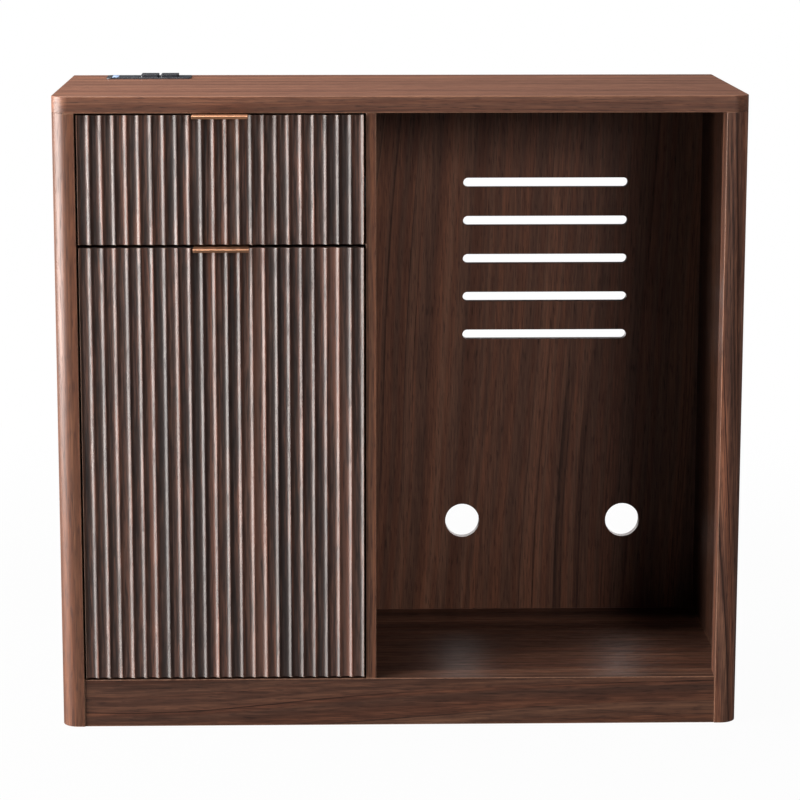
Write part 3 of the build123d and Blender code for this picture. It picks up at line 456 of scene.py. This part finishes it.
def boardMaterial(name, seed, finish, axes, heart=1.3, spread=0.05, taper=0.0, drift=0.012,
                  tone=1.0, edgeToneAndShade=0.9, contrast=1.0, veins=1.0, red=0.5):
    material, tree, surface, place = newMaterial("wood_" + name)
    across, depth, along = splitXyz(tree, place["Object"], axes)
    shades = {label.capitalize(): [part * tone for part in finish[label]] + [1]
              for label in ("dark", "middle", "light")}
    wood = useGroup(
        tree, woodFigure, Across=across, Depth=depth, Along=along, Heart=heart, Spread=spread,
        Taper=taper, Drift=drift, Seed=seed, Contrast=contrast, Veins=veins, Red=red, **shades)
    low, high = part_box(name)
    facing = [1.0 if axis == axes[1] else 0.0 for axis in "xyz"]
    edge = useGroup(tree, boardEdges, Vector=place["Object"], Normal=place["Normal"], Facing=facing,
                    Centre=(low + high) / 2, Half=(high - low) / 2)
    # Narrow faces darker: an edge strip's own tone, and painted shade
    narrow = calc(tree, "SUBTRACT", 1.0, edge["Face"])
    colour = mixColour(tree, narrow, wood["Color"], (edgeToneAndShade, edgeToneAndShade, edgeToneAndShade, 1), "MULTIPLY")
    seam = calc(tree, "MULTIPLY", edge["Seam"], boardSurface["seamShare"])
    colour = mixColour(tree, seam, colour, boardSurface["seamShade"], "MULTIPLY")
    # Arrises lighter: real wear, and a painted highlight along them
    wearAndHighlightAmount = calc(tree, "MULTIPLY", edge["WearAndHighlight"], boardSurface["wearAndHighlightShare"])
    feed(tree, surface["Base Color"], mixColour(tree, wearAndHighlightAmount, colour, finish["wearAndHighlightColour"]))
    parts = {"Sheen": wood["Sheen"], "Pores": wood["Pores"], "WearAndHighlight": edge["WearAndHighlight"]}
    change = blended(tree, parts, boardSurface["roughness"])
    feed(tree, surface["Roughness"], calc(tree, "ADD", change, finish["roughness"]))
    surface["Specular IOR Level"].default_value = finish["gloss"]
    if "sweep" in finish:
        surface["Anisotropic"].default_value = finish["sweep"]
        feed(tree, surface["Tangent"], joinXyz(tree, 0.0, 0.0, 1.0))
    bump(tree, surface, wood["Height"], *boardSurface["relief"])
    return material


for group, finish, firstSeed in boardGroups:
    for count, (name, board) in enumerate(group.items()):
        dress(name, boardMaterial(name, firstSeed + boardSurface["seedStep"] * count, finish, **board))
print("boards dressed:", sum(len(group) for group, finish, firstSeed in boardGroups))


# Metals, brushed or drawn along the first of their axes

copper = {
    "colour": (0.58, 0.3, 0.175, 1),
    "groove": (0.42, 0.205, 0.115, 1),
    "smooth": 0.34,
    "rough": 0.48,
}

zincStrip = {
    "colour": (0.6, 0.61, 0.63, 1),
    "groove": (0.46, 0.47, 0.49, 1),
    "smooth": 0.32,
    "rough": 0.46,
}

zincPart = {
    "colour": (0.64, 0.64, 0.65, 1),
    "groove": (0.5, 0.5, 0.52, 1),
    "smooth": 0.28,
    "rough": 0.42,
}

metalSurface = {
    "tint": {"Lines": 0.6, "Cloud": 0.4},
    "tintRange": (0.3, 0.6),
    "cloudRange": (0.3, 0.7),
    "relief": (0.12, 0.01 * mm),        # strength, depth
}


def metalMaterial(name, finish, axes="xyz"):
    material, tree, surface, place = newMaterial(name)
    along = joinXyz(tree, *splitXyz(tree, place["Object"], axes))
    lines = useGroup(tree, brushLines, Vector=along)
    tint = remap(tree, blended(tree, lines, metalSurface["tint"]), *metalSurface["tintRange"])
    feed(tree, surface["Base Color"], mixColour(tree, tint, finish["groove"], finish["colour"]))
    surface["Metallic"].default_value = 1.0
    feed(tree, surface["Roughness"],
         remap(tree, lines["Cloud"], *metalSurface["cloudRange"], finish["rough"], finish["smooth"]))
    bump(tree, surface, lines["Lines"], *metalSurface["relief"])
    return material


copperFinish = metalMaterial("brushed_copper", copper)
stripFinish = metalMaterial("drawn_zinc_strip", zincStrip, "yxz")
zincFinish = metalMaterial("zinc_plate", zincPart)
for name in ("door_pull", "drawer_pull"):
    dress(name, copperFinish)
for name, slot in slotOf.items():
    if slot in ("zinc_steel", "zinc_hardware"):
        dress(name, stripFinish if slot == "zinc_steel" else zincFinish)
print("metals dressed")


# Moulded plastics

plastics = {
    "charcoal": dict(colour=(0.02, 0.022, 0.027, 1), pale=(0.04, 0.043, 0.05, 1), roughness=0.34),
    "catchBrown": dict(colour=(0.13, 0.07, 0.045, 1), pale=(0.18, 0.1, 0.068, 1), roughness=0.5),
    "portBlue": dict(colour=(0.27, 0.38, 0.6, 1), pale=(0.36, 0.46, 0.66, 1), roughness=0.4),
}

plasticSurface = {
    "cloudRange": (0.3, 0.7),
    "gritShare": 0.2,                   # of the roughness, half of it each way
    "relief": (0.25, 0.03 * mm),        # strength, depth
}


def plasticMaterial(name, colour, pale, roughness):
    material, tree, surface, place = newMaterial("plastic_" + name)
    grit = useGroup(tree, mouldedGrit, Vector=place["Object"])
    cloud = remap(tree, grit["Cloud"], *plasticSurface["cloudRange"])
    feed(tree, surface["Base Color"], mixColour(tree, cloud, colour, pale))
    share = plasticSurface["gritShare"]
    rough = calc(tree, "MULTIPLY_ADD", grit["Grit"], share, roughness - share / 2)
    feed(tree, surface["Roughness"], rough)
    bump(tree, surface, grit["Grit"], *plasticSurface["relief"])
    return material


plasticFinish = {name: plasticMaterial(name, **values) for name, values in plastics.items()}
for name, slot in slotOf.items():
    if slot in ("outlet_plastic", "usb_plastic"):
        dress(name, plasticFinish["charcoal"])
dress("magnetic_catch", plasticFinish["catchBrown"])
print("plastics dressed")


# Ease the sharp arrises, by widths in millimetres, so that they catch the light as real ones do.
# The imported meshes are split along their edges, so they are welded first.

eases = {
    "top_slab": 1.2,
    "left_front_post": 1.2,
    "right_front_post": 1.2,
    "divider_panel": 0.9,
    "door_panel": 0.6,
    "drawer_front": 0.6,
    "door_pull": 0.25,
    "drawer_pull": 0.25,
    "outlet_bezel": 0.3,
    "outlet_receptacles": 0.3,
    "outlet_usb_insert": 0.2,
}

slotEases = {
    "walnut_board": 0.5,
    "drawer_board": 0.5,
    "zinc_steel": 0.15,
    "zinc_hardware": 0.15,
    "catch_plastic": 0.15,
}

arris = {
    "sharpFrom": 40,
    "segments": 2,
}


def easeArrises(name, width):
    modifiers = nodes[name].modifiers
    modifiers.new("weldedFaces", "WELD").merge_threshold = weldReach
    ease = modifiers.new("easedArrises", "BEVEL")
    ease.width = width * mm
    ease.segments = arris["segments"]
    ease.limit_method = "ANGLE"
    ease.angle_limit = math.radians(arris["sharpFrom"])
    ease.use_clamp_overlap = True
    modifiers.new("faceNormals", "WEIGHTED_NORMAL").keep_sharp = True


for name, slot in slotOf.items():
    if slot in slotEases:
        eases.setdefault(name, slotEases[slot])
for name, width in eases.items():
    easeArrises(name, width)
print("arrises eased:", len(eases))


# Screws and cam locks. Each packed peg gives a copy its place, length and radii; the copy has a
# rounded rim, a cross recess and, under a head, a thread.

hardware = {
    "sides": 24,
    "endReach": 0.01 * mm,              # points this near an end of a peg count as part of it
    "plainWithin": 0.05 * mm,           # ends whose radii differ by less belong to a peg without a head
    "seenFrom": (-0.268, 0, -1),        # a plain peg has its recess at the end nearer to this point
    "tip": ((0.35, 0.0), (0.8, 0.9)),   # radius and height, of the shank's radius
    "threadFrom": 1.2,
    "threadDepth": 0.16,
    "threadPitch": 1.4 * mm,
    "neck": 0.05 * mm,
    "rim": 0.35 * mm,                   # at most a third of the head's height
    "rimBend": 0.3,                     # of the rim
    "crossReach": 0.64,                 # of the head's radius
    "crossWidth": 0.15,
    "crossTaper": 0.72,                 # floor of the recess, of its mouth
    "crossDepth": 0.9 * mm,             # in a head of crossHead's radius
    "crossHead": 3.2 * mm,
    "crossMost": 0.8,                   # of the head's height
    "smoothTo": 30,
}


def looseParts(name):
    work = bmesh.new()
    work.from_mesh(nodes[name].data)
    bmesh.ops.remove_doubles(work, verts=work.verts, dist=weldReach)
    met = set()
    parts = []
    for start in work.verts:
        front = [start]
        points = []
        while front:
            vert = front.pop()
            if vert not in met:
                met.add(vert)
                points.append(vert.co.copy())
                front += [edge.other_vert(vert) for edge in vert.link_edges]
        if points:
            parts.append(points)
    work.free()
    return parts


def readPeg(points):
    # Gives the place of the foot, the length, the height where the head starts, and both radii
    low = Vector([min(point[k] for point in points) for k in range(3)])
    high = Vector([max(point[k] for point in points) for k in range(3)])
    middle = (low + high) / 2
    size = high - low
    axis = min(range(3), key=lambda k: abs(size[k - 1] - size[k - 2]))

    def reach(point):
        away = point - middle
        away[axis] = 0
        return away.length

    def radiusAt(end):
        return max(reach(point) for point in points if abs(point[axis] - end) < hardware["endReach"])

    lowRadius, highRadius = radiusAt(low[axis]), radiusAt(high[axis])
    plain = abs(lowRadius - highRadius) < hardware["plainWithin"]
    if plain:
        seen = hardware["seenFrom"][axis]
        headHigh = abs(high[axis] - seen) < abs(low[axis] - seen)
    else:
        headHigh = highRadius > lowRadius
    head, shank = max(lowRadius, highRadius), min(lowRadius, highRadius)
    foot = middle.copy()
    foot[axis] = low[axis] if headHigh else high[axis]
    direction = Vector([0, 0, 0])
    direction[axis] = 1 if headHigh else -1
    rim = [abs(point[axis] - foot[axis]) for point in points if reach(point) > (head + shank) / 2]
    headFrom = 0.0 if plain else min(rim)
    place = Matrix.Translation(foot) @ direction.to_track_quat("Z", "Y").to_matrix().to_4x4()
    return place, size[axis], headFrom, shank, head


def ringOf(work, place, radius, height):
    ring = []
    for k in range(hardware["sides"]):
        angle = 2 * math.pi * k / hardware["sides"]
        point = Vector((radius * math.cos(angle), radius * math.sin(angle), height))
        ring.append(work.verts.new(place @ point))
    return ring


def crossOf(work, place, radius, scale, height):
    reach, width = (hardware[key] * radius * scale for key in ("crossReach", "crossWidth"))
    corners = []
    x, y = (reach, reach, width), (-width, width, width)
    for turn in range(4):
        corners += zip(x, y)
        x, y = [-b for b in y], x
    return [work.verts.new(place @ Vector((a, b, height))) for a, b in corners]


def joinRings(work, first, second):
    for k in range(len(first)):
        work.faces.new((first[k - 1], first[k], second[k], second[k - 1]))


def stackRings(work, rings):
    for first, second in zip(rings, rings[1:]):
        joinRings(work, first, second)


def pegProfile(length, headFrom, shank, head):
    # Radius and height, from the foot to the rim of the head
    profile = [(head, 0.0)]
    if headFrom > 0:
        start, pitch = shank * hardware["threadFrom"], hardware["threadPitch"]
        root = shank * (1 - hardware["threadDepth"])
        profile = [(shank * radius, shank * height) for radius, height in hardware["tip"]]
        for turn in range(int((headFrom - start) / pitch)):
            height = start + turn * pitch
            profile += [(shank, height), (root, height + pitch / 2)]
        profile += [(shank, headFrom - hardware["neck"]), (head, headFrom)]
    rim = min(hardware["rim"], (length - headFrom) / 3)
    bend = rim * hardware["rimBend"]
    return profile + [(head, length - rim), (head - bend, length - bend), (head - rim, length)]


def addPeg(work, place, length, headFrom, shank, head):
    rings = [ringOf(work, place, *step) for step in pegProfile(length, headFrom, shank, head)]
    stackRings(work, rings)
    work.faces.new(rings[0])
    depth = min(hardware["crossDepth"] * head / hardware["crossHead"],
                (length - headFrom) * hardware["crossMost"])
    mouth = crossOf(work, place, head, 1.0, length)
    floor = crossOf(work, place, head, hardware["crossTaper"], length - depth)
    joinRings(work, mouth, floor)
    work.faces.new(floor)
    border = [work.edges.get((loop[k - 1], loop[k]))
              for loop in (rings[-1], mouth) for k in range(len(loop))]
    bmesh.ops.triangle_fill(work, use_beauty=True, edges=border)


def addPiece(name, work, body, material):
    bmesh.ops.recalc_face_normals(work, faces=work.faces)
    mesh = bpy.data.meshes.new(name)
    work.to_mesh(mesh)
    work.free()
    mesh.shade_smooth()
    mesh.set_sharp_from_angle(angle=math.radians(hardware["smoothTo"]))
    mesh.materials.append(material)
    piece = bpy.data.objects.new(name, mesh)
    bpy.context.scene.collection.objects.link(piece)
    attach(piece, body)
    return piece


def cutPegs(name):
    work = bmesh.new()
    for points in looseParts(name):
        addPeg(work, *readPeg(points))
    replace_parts(addPiece("cut_" + name, work, nodes[name]["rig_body"], zincFinish), name)


pegNodes = [name for name in slotOf if name == "cam_locks" or name.endswith(("_screw", "_screws"))]
for name in pegNodes:
    cutPegs(name)
print("screws and cam locks cut:", len(pegNodes))


# Power outlet: metal shells, coloured tongues and contacts in the USB ports, contact leaves in the
# slots of the two receptacles, and a pale-blue pad on the bezel. Sizes in millimetres, placed by the
# outlet's own openings.

outlet = {
    "middleY": 159.0,
    "usbX": -409.8,
    "usbTop": 934.0,
    "portPitch": 19.0,
    "port": (12.9, 5.5),
    "shell": 0.35,
    "shellDepth": (0.4, 10.5),          # from the insert's top to the shell's upper and lower end
    "tongue": (11.2, 2.0),
    "tongueY": 1.1,
    "tongueDepth": 0.9,
    "strips": 4,
    "strip": (1.0, 0.12),
    "stripPitch": 2.3,
    "stripDepth": 1.8,
    "receptacleX": (-377.6, -347.2),
    "blockTop": 938.0,
    "bladeSpacing": 12.7,
    "blade": (1.9, 7.8),
    "leaf": 0.4,
    "leafDepth": (2.5, 13.5),
    "padX": -430.8,
    "palePad": (9.4, 34.0),
    "padCorner": 2.0,
    "padSides": 20,
    "padSteps": ((0.0, -0.2), (0.0, 0.25), (0.3, 0.4)),      # inset, height over the insert's top
}

boxFaces = ((0, 2, 3, 1), (4, 5, 7, 6), (0, 1, 5, 4), (2, 6, 7, 3), (0, 4, 6, 2), (1, 3, 7, 5))


def addBox(work, low, high):
    # The bits of a corner's number tell its ends on x, y and z
    corners = []
    for k in range(8):
        corners.append(work.verts.new([(low, high)[(k >> bit) & 1][bit] * mm for bit in range(3)]))
    for face in boxFaces:
        work.faces.new([corners[k] for k in face])


def addTube(work, x, y, width, depth, wall, top, bottom):
    # Rectangular sleeve, open above and below
    rings = []
    for height, inset in ((bottom, 0), (top, 0), (top, wall), (bottom, wall)):
        a, b = width / 2 - inset, depth / 2 - inset
        rings.append([work.verts.new(Vector((x + s * a, y + t * b, height)) * mm)
                      for s, t in ((-1, -1), (1, -1), (1, 1), (-1, 1))])
    for k in range(4):
        joinRings(work, rings[k - 1], rings[k])


def addPort(shells, tongues, contacts, y):
    x, top = outlet["usbX"], outlet["usbTop"]
    high, low = (top - part for part in outlet["shellDepth"])
    addTube(shells, x, y, *outlet["port"], outlet["shell"], high, low)
    width, thick = outlet["tongue"]
    front, back = (y + outlet["tongueY"] + side * thick / 2 for side in (-1, 1))
    addBox(tongues, (x - width / 2, front, low), (x + width / 2, back, top - outlet["tongueDepth"]))
    wide, thin = outlet["strip"]
    for k in range(outlet["strips"]):
        left = x + (k - (outlet["strips"] - 1) / 2) * outlet["stripPitch"] - wide / 2
        addBox(contacts, (left, front - thin, low), (left + wide, front, top - outlet["stripDepth"]))


def addLeaves(contacts, block):
    # Two leaves in each of the receptacle's two slots
    y, leaf = outlet["middleY"], outlet["leaf"]
    width, length = outlet["blade"]
    high, low = (outlet["blockTop"] - part for part in outlet["leafDepth"])
    for side in (-1, 1):
        for flank in (-1, 1):
            x = block + side * outlet["bladeSpacing"] / 2 + flank * (width - leaf) / 2
            addBox(contacts, (x - leaf / 2, y - length / 2, low), (x + leaf / 2, y + length / 2, high))


def addPalePad(work):
    # Pad with round corners and an eased rim
    x, y = outlet["padX"], outlet["middleY"]
    reachX, reachY = (part / 2 - outlet["padCorner"] for part in outlet["palePad"])
    rings = []
    for inset, rise in outlet["padSteps"]:
        corner = outlet["padCorner"] - inset
        ring = []
        for k in range(outlet["padSides"]):
            angle = 2 * math.pi * (k + 0.5) / outlet["padSides"]
            across, along = math.cos(angle), math.sin(angle)
            point = Vector((x + math.copysign(reachX, across) + corner * across,
                            y + math.copysign(reachY, along) + corner * along, outlet["usbTop"] + rise))
            ring.append(work.verts.new(point * mm))
        rings.append(ring)
    stackRings(work, rings)
    work.faces.new(rings[0])
    work.faces.new(rings[-1])


def buildOutletParts():
    palePad, shells, tongues, contacts = (bmesh.new() for _ in range(4))
    addPalePad(palePad)
    for side in (-1, 1):
        addPort(shells, tongues, contacts, outlet["middleY"] + side * outlet["portPitch"] / 2)
    for block in outlet["receptacleX"]:
        addLeaves(contacts, block)
    body = nodes["outlet_usb_insert"]["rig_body"]
    addPiece("outlet_pale_pad", palePad, body, plasticFinish["portBlue"])
    addPiece("usb_port_shells", shells, body, zincFinish)
    addPiece("usb_port_tongues", tongues, body, plasticFinish["portBlue"])
    addPiece("outlet_contacts", contacts, body, zincFinish)


buildOutletParts()
print("outlet fitted")


# Stage: a grey floor that the camera sees as white, but for a faint shadow near the object

studio = {
    "floorHalf": 30.0,
    "floorColour": (0.2, 0.2, 0.2, 1),
    "floorRoughness": 0.9,
    "floorMirror": 0.1,
    "shadowShare": 0.03,
    "fadeRange": (0.7, 2.2),            # the shadow fades out between these distances
    "ambient": 0.03,
    "frontMirror": 0.045,
    "backMirror": 0.1,
    "mirrorRange": (-0.2, 0.5),
}


def buildFloor():
    half = studio["floorHalf"]
    corners = [(-half, -half, 0), (half, -half, 0), (half, half, 0), (-half, half, 0)]
    mesh = bpy.data.meshes.new("studio_floor")
    mesh.from_pydata(corners, [], [(0, 1, 2, 3)])
    floor = bpy.data.objects.new("studio_floor", mesh)
    bpy.context.scene.collection.objects.link(floor)
    material, tree, surface, place = newMaterial("studio_floor")
    surface["Base Color"].default_value = studio["floorColour"]
    surface["Roughness"].default_value = studio["floorRoughness"]
    plain = next(node for node in tree.nodes if node.type == "BSDF_PRINCIPLED")
    out = next(node for node in tree.nodes if node.type == "OUTPUT_MATERIAL")
    white = addNode(tree, "ShaderNodeEmission")
    rays = addNode(tree, "ShaderNodeLightPath").outputs
    reach = vectorCalc(tree, "LENGTH", place["Object"], output=1)
    whiteness = remap(tree, reach, *studio["fadeRange"], 1 - studio["shadowShare"], 1.0)
    seen = calc(tree, "MAXIMUM", rays["Is Camera Ray"], rays["Is Transmission Ray"])
    mirrored = calc(tree, "MULTIPLY", rays["Is Glossy Ray"], studio["floorMirror"])
    feed(tree, white.inputs["Strength"], calc(tree, "MAXIMUM", seen, mirrored))
    blend = addNode(tree, "ShaderNodeMixShader")
    share = calc(tree, "MAXIMUM", rays["Is Glossy Ray"], calc(tree, "MULTIPLY", seen, whiteness))
    feed(tree, blend.inputs[0], share)
    tree.links.new(plain.outputs[0], blend.inputs[1])
    tree.links.new(white.outputs[0], blend.inputs[2])
    tree.links.new(blend.outputs[0], out.inputs[0])
    mesh.materials.append(material)


def buildWorld():
    # White to the camera. Gloss sees a dim room, a little brighter behind the object.
    world = bpy.data.worlds.new("studioWorld")
    bpy.context.scene.world = world
    world.use_nodes = True
    tree = world.node_tree
    tree.nodes.clear()
    sky = addNode(tree, "ShaderNodeBackground")
    out = addNode(tree, "ShaderNodeOutputWorld")
    tree.links.new(sky.outputs[0], out.inputs[0])
    direction = addNode(tree, "ShaderNodeTexCoord").outputs["Generated"]
    backward = splitXyz(tree, direction)[1]
    rays = addNode(tree, "ShaderNodeLightPath").outputs
    mirrored = remap(tree, backward, *studio["mirrorRange"], studio["frontMirror"], studio["backMirror"])
    extra = calc(tree, "SUBTRACT", mirrored, studio["ambient"])
    strength = calc(tree, "MULTIPLY_ADD", rays["Is Glossy Ray"], extra, studio["ambient"])
    direct = calc(tree, "MAXIMUM", rays["Is Camera Ray"], rays["Is Transmission Ray"])
    feed(tree, sky.inputs["Strength"], calc(tree, "MAXIMUM", strength, direct))


# Lamps. Azimuth and elevation are in degrees from straight in front, positive to the right and up.
# A lamp stands at its distance from the point it aims at. One that isn't mirrored lights the object
# without showing in its gloss.

warm = (1, 0.97, 0.94)

lamps = {
    "keyLamp": dict(azimuth=-79, elevation=20, distance=3.0, size=(2.3, 1.6), power=216, colour=warm),
    "lowLamp": dict(azimuth=-79, elevation=-3, distance=2.9, size=(2.3, 0.65), power=158, colour=warm),
    "fillLamp": dict(azimuth=27, elevation=17, distance=4.0, size=(1.1, 0.8), power=54, mirrored=False),
    "veilLamp": dict(azimuth=22, elevation=15, distance=4.0, size=(0.8, 0.8), power=14),
    "rearLamp": dict(azimuth=106, elevation=22, distance=3.0, size=(1.5, 1.2), power=22, mirrored=False),
    "topLamp": dict(azimuth=-70, elevation=68, distance=3.0, size=(1.4, 1.0), power=105),
    # Shines through the cable holes and glints on the floor of the bay
    "glowLamp": dict(azimuth=180, elevation=17, distance=0.4, size=(0.9, 0.4), power=3.4,
                     aim=(0.24, 0.21, 0.24)),
}


def areaLamp(name, azimuth, elevation, distance, size, power, colour=(1, 1, 1), aim=(0, 0, 0.5),
             mirrored=True):
    a, e = math.radians(azimuth), math.radians(elevation)
    away = Vector((math.sin(a) * math.cos(e), -math.cos(a) * math.cos(e), math.sin(e)))
    data = bpy.data.lights.new(name, "AREA")
    data.shape = "RECTANGLE"
    data.size, data.size_y = size
    data.energy = power
    data.color = colour
    lamp = bpy.data.objects.new(name, data)
    lamp.location = Vector(aim) + away * distance
    lamp.rotation_mode = "QUATERNION"
    lamp.rotation_quaternion = away.to_track_quat("Z", "Y")
    lamp.visible_glossy = mirrored
    bpy.context.scene.collection.objects.link(lamp)


buildFloor()
buildWorld()
for name, lamp in lamps.items():
    areaLamp(name, **lamp)


# Camera at the photograph's angle. Pitch is degrees downward, yaw degrees to the right.

camera = {
    "place": (-0.1195, -4.1025, 1.2606),
    "pitch": 10.12,
    "yaw": 1.22,
    "lens": 123.6,
    "sensor": 36,
    "shift": (0.03, -0.06),
}


def buildCamera():
    data = bpy.data.cameras.new("photoCamera")
    data.lens = camera["lens"]
    data.sensor_width = camera["sensor"]
    data.shift_x, data.shift_y = camera["shift"]
    eye = bpy.data.objects.new("photoCamera", data)
    eye.location = camera["place"]
    eye.rotation_euler = (math.radians(90 - camera["pitch"]), 0, math.radians(-camera["yaw"]))
    bpy.context.scene.collection.objects.link(eye)
    bpy.context.scene.camera = eye


buildCamera()
bpy.context.scene.view_settings.view_transform = "Standard"
print("stage, lamps and camera set")
